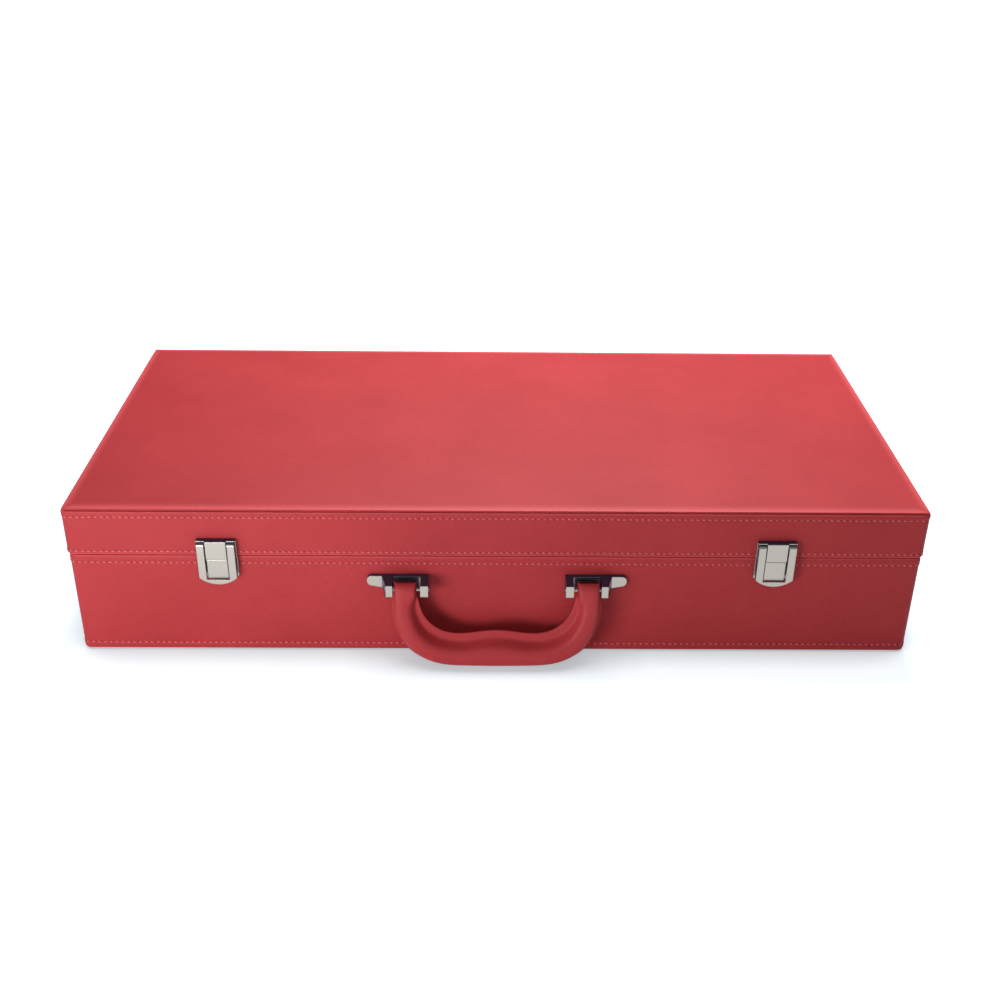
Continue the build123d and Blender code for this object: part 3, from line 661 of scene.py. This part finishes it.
# distance from the middle, drop below the pivot, turn, width, thickness, inner welt, outer welt
BOW = (
    (57.5, -5.5, 0, 14.0, 2.2, 0.0, 0.0),
    (57.5, -4.7, 0, 14.0, 6.2, 0.0, 0.0),
    (57.5, -2.7, 0, 14.0, 10.2, 0.0, 0.0),
    (57.5, 0.0, 0, 14.0, 11.2, 0.0, 0.0),
    (57.6, 3.6, 0, 14.1, 11.2, 0.0, 0.0),
    (57.7, 5.4, 0, 14.6, 11.4, 0.6, 0.5),
    (57.9, 7.4, 2, 15.7, 11.6, 1.6, 1.2),
    (58.0, 10.2, 5, 16.9, 12.1, 2.4, 1.7),
    (57.8, 14.0, 9, 17.6, 12.6, 2.9, 1.9),
    (57.0, 18.2, 14, 18.2, 13.2, 3.3, 2.0),
    (54.6, 25.6, 27, 19.8, 14.2, 4.0, 2.1),
    (50.6, 32.4, 42, 21.8, 15.4, 4.6, 2.1),
    (45.9, 36.9, 53, 22.4, 16.0, 4.8, 2.1),
    (40.4, 40.2, 64, 22.6, 16.4, 4.9, 2.1),
    (33.4, 42.5, 76, 22.2, 16.8, 4.9, 2.0),
    (26.0, 43.2, 86, 21.8, 17.0, 4.9, 2.0),
    (19.5, 43.2, 91, 22.1, 17.0, 4.8, 2.0),
    (13.0, 42.9, 93, 23.2, 17.0, 4.6, 2.0),
    (6.5, 42.4, 92, 24.5, 17.0, 4.4, 2.0),
    (0.0, 42.2, 90, 25.0, 17.0, 4.3, 2.0),
)
WELT_HALF = 0.75  # half the thickness of the welded rims, in millimetres
RIM = 0.3  # how far the inner rim stands out past the section, as a share of its width
# share of the way across and share of the height, from the inner foot of the body to the outer
PROFILE = (
    (0.0, 0.0), (0.05, 0.09), (0.10, 0.25), (0.15, 0.44), (0.20, 0.62), (0.26, 0.78), (0.33, 0.89),
    (0.42, 0.96), (0.52, 0.995), (0.63, 1.0), (0.74, 0.975), (0.83, 0.91), (0.90, 0.80), (0.95, 0.62),
    (0.98, 0.40), (0.995, 0.18), (1.0, -0.04),
)


def arch(width, thickness, inner, outer, inset):
    """Points (across, up) over one half of the bow, in millimetres, drawn in by an inset."""
    low, high = -width / 2 + 0.8 * inner + inset, width / 2 - 0.8 * outer - inset
    top = thickness / 2 - WELT_HALF - inset
    even = 0.5 + 0.5 * min(1, inner / 3)  # the loops' ends are round, the bow has a soft inner slope
    points = []
    for along, rise in PROFILE:
        round_rise = (1 - abs(2 * along - 1) ** 3.5) ** (1 / 3.5)
        height = rise * (2 * even - 1) + round_rise * (2 - 2 * even)
        points.append((low + (high - low) * along, WELT_HALF + top * height))
    return points


def half_outline(station, facing):
    """One half cover's section: rim, arch, rim."""
    x, drop, turn, width, thickness, inner, outer = station
    points = arch(width, thickness, inner, outer, 0)
    points = [(-width / 2 - RIM * inner, WELT_HALF), (-width / 2 + 0.4 * inner, WELT_HALF), *points,
              (width / 2 - 0.4 * outer, WELT_HALF), (width / 2, WELT_HALF)]
    return [(across, facing * up) for across, up in points]


def core_outline(station, facing):
    """The core's closed section: a smaller arch in front and its mirror image behind."""
    x, drop, turn, width, thickness, inner, outer = station
    points = arch(width, max(thickness, 4.0), inner, outer, 0.85)
    return points + [(across, -up) for across, up in points[::-1]]


def put_in_place(row, station, outline, facing):
    """Moves a row of vertices onto the section of a station."""
    a = radians(station[2])
    inwards = Vector((-cos(a), sin(a)))
    for vert, (across, up) in zip(row, outline(station, facing)):
        place = Vector((station[0], -station[1])) - inwards * across
        vert.co = Vector((place.x, place.y, up)) * MM


def swept_bow(name, outline, facing, closed, material):
    """A section drawn along the whole bow, from one loop to the other."""
    other = [(-x, drop, 180 - turn, *rest) for x, drop, turn, *rest in BOW[-2::-1]]
    stations = [*BOW, *other]
    bm = bmesh.new()
    count = len(outline(stations[0], facing))
    row = [bm.verts.new((i * MM, 0, 0)) for i in range(count)]
    edges = [bm.edges.new(pair) for pair in zip(row, row[1:])]
    if closed:
        edges.append(bm.edges.new((row[-1], row[0])))
    put_in_place(row, stations[0], outline, facing)
    for station in stations[1:]:
        made = bmesh.ops.extrude_edge_only(bm, edges=edges)["geom"]
        fresh = {part for part in made if isinstance(part, bmesh.types.BMVert)}
        edges = [part for part in made
                 if isinstance(part, bmesh.types.BMEdge) and set(part.verts) <= fresh]
        row = [next(e.other_vert(vert) for e in vert.link_edges if e.other_vert(vert) in fresh)
               for vert in row]
        put_in_place(row, station, outline, facing)
    if closed:
        bmesh.ops.holes_fill(bm, edges=bm.edges, sides=count)
    tip = Matrix.Rotation(pi / 2 - LEAN, 4, "X")
    bmesh.ops.transform(bm, matrix=Matrix.Translation(pivot) @ tip, verts=bm.verts)
    return make_piece(name, bm, material, "handle")


for side, facing in (("front", 1), ("back", -1)):
    cover = swept_bow(
        f"handle_{side}_half", half_outline, facing, False, handle_leatherette
    )
    middle = cover.data.polygons[len(cover.data.polygons) // 2]
    if middle.normal.y * facing > 0:
        cover.data.flip_normals()
    sheet_thickness(cover, 0.7 * MM)
    rounding = cover.modifiers.new("rounding", "SUBSURF")
    rounding.levels = rounding.render_levels = 1
    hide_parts(f"handle_{side}_cover")
filling = swept_bow("handle_filling", core_outline, 1, True, moulded_core)
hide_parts("handle_core")

# %% [markdown]
# The case is shown on white, as in a catalogue. The floor is a pale sheet that glows for the
# camera and in mirror images alone, so it reads white without throwing light on the case,
# while the part that lamps light still darkens under the case as a soft shadow. The glow itself
# is dimmed close to the case by ambient occlusion: a painted contact shadow along its foot.
# Further out the glow rises, so that the floor stays white where the lamps don't reach. Metal
# sees a pale floor and dark room, which gives the plating part of its contrast; the dark returns
# of the plating are painted shade.

# %% Floor and world
floor_maker = bmesh.new()
bmesh.ops.create_circle(floor_maker, cap_ends=True, radius=9.0, segments=96)
bmesh.ops.translate(floor_maker, vec=(0, 0, -0.15 * MM), verts=floor_maker.verts)
floor_mesh = bpy.data.meshes.new("floor")
floor_maker.to_mesh(floor_mesh)
floor_maker.free()
floor = bpy.data.objects.new("floor", floor_mesh)
scene.collection.objects.link(floor)

floor_material, tree, shader, place = start_material("white_table")
shader.inputs["Roughness"].default_value = 1.0
shader.inputs["Specular IOR Level"].default_value = 0.0
ray = add(tree, "ShaderNodeLightPath")
paint = add(
    tree, "ShaderNodeMix",
    {"Factor": ray.outputs["Is Camera Ray"], "A": linear("#dcdfe3"), "B": linear("#b6d2dc")},
    data_type="RGBA",
)
tree.links.new(paint.outputs["Result"], shader.inputs["Base Color"])
seen = add(
    tree, "ShaderNodeMath",
    {0: ray.outputs["Is Camera Ray"], 1: ray.outputs["Is Glossy Ray"]}, operation="MAXIMUM",
)
# Painted contact shadow: the floor's glow is dimmed by how much of the sky the case hides nearby.
contact = add(tree, "ShaderNodeAmbientOcclusion", {"Distance": 45 * MM})
painted_contact_shadow = add(
    tree, "ShaderNodeMapRange",
    {"Value": contact.outputs["AO"], "From Min": 0.40, "From Max": 0.80, "To Min": 0.42, "To Max": 0.90},
)
reach = add(tree, "ShaderNodeVectorMath", {0: place}, operation="LENGTH")
far = add(
    tree, "ShaderNodeMapRange",
    {"Value": reach.outputs["Value"], "From Min": 0.45, "From Max": 1.1, "To Min": 0.0, "To Max": 0.3},
    interpolation_type="SMOOTHSTEP",
)
whole = add(
    tree, "ShaderNodeMath", {0: painted_contact_shadow.outputs["Result"], 1: far.outputs["Result"]}, operation="ADD"
)
glow = add(tree, "ShaderNodeMath", {0: seen.outputs[0], 1: whole.outputs[0]}, operation="MULTIPLY")
shader.inputs["Emission Color"].default_value = linear("#f8fcff")
tree.links.new(glow.outputs[0], shader.inputs["Emission Strength"])
floor_mesh.materials.append(floor_material)

world = bpy.data.worlds.new("studio")
world.use_nodes = True
scene.world = world
tree = world.node_tree
tree.nodes.clear()
ray = add(tree, "ShaderNodeLightPath")
room = add(tree, "ShaderNodeBackground", {"Color": linear("#dfe2e6"), "Strength": 0.11})
backdrop = add(tree, "ShaderNodeBackground", {"Color": (1, 1, 1, 1), "Strength": 1.0})
dark_room = add(tree, "ShaderNodeBackground", {"Color": linear("#2a3444"), "Strength": 1.0})
for_metal = add(
    tree, "ShaderNodeMixShader",
    {0: ray.outputs["Is Glossy Ray"], 1: room.outputs[0], 2: dark_room.outputs[0]},
)
for_camera = add(
    tree, "ShaderNodeMixShader",
    {0: ray.outputs["Is Camera Ray"], 1: for_metal.outputs[0], 2: backdrop.outputs[0]},
)
add(tree, "ShaderNodeOutputWorld", {"Surface": for_camera.outputs[0]})

# %% [markdown]
# A small soft lamp stands low and close on the left, which is why the left end of the front is
# bright and the right end falls into shade. A second hangs over the far right of the top, so
# that the padded top is brightest there. A third, wide and weak, fills the front from afar.


# %% Lamps
def soft_lamp(name, place, target, size, power):
    """A square area lamp at a place, aimed at a target. Places are in metres."""
    data = bpy.data.lights.new(name, "AREA")
    data.shape = "SQUARE"
    data.size = size
    data.energy = power
    lamp = bpy.data.objects.new(name, data)
    lamp.location = place
    lamp.rotation_euler = (Vector(target) - Vector(place)).to_track_quat("-Z", "Y").to_euler()
    scene.collection.objects.link(lamp)


soft_lamp("key_lamp", (-0.34, -0.56, 0.06), (-0.10, -0.13, 0.04), 0.24, 2.0)
soft_lamp("top_lamp", (0.09, 0.36, 0.90), (0.10, 0.05, 0.10), 0.50, 10.8)
soft_lamp("front_lamp", (0.10, -1.70, 1.40), (0.0, -0.13, 0.05), 1.2, 4.8)
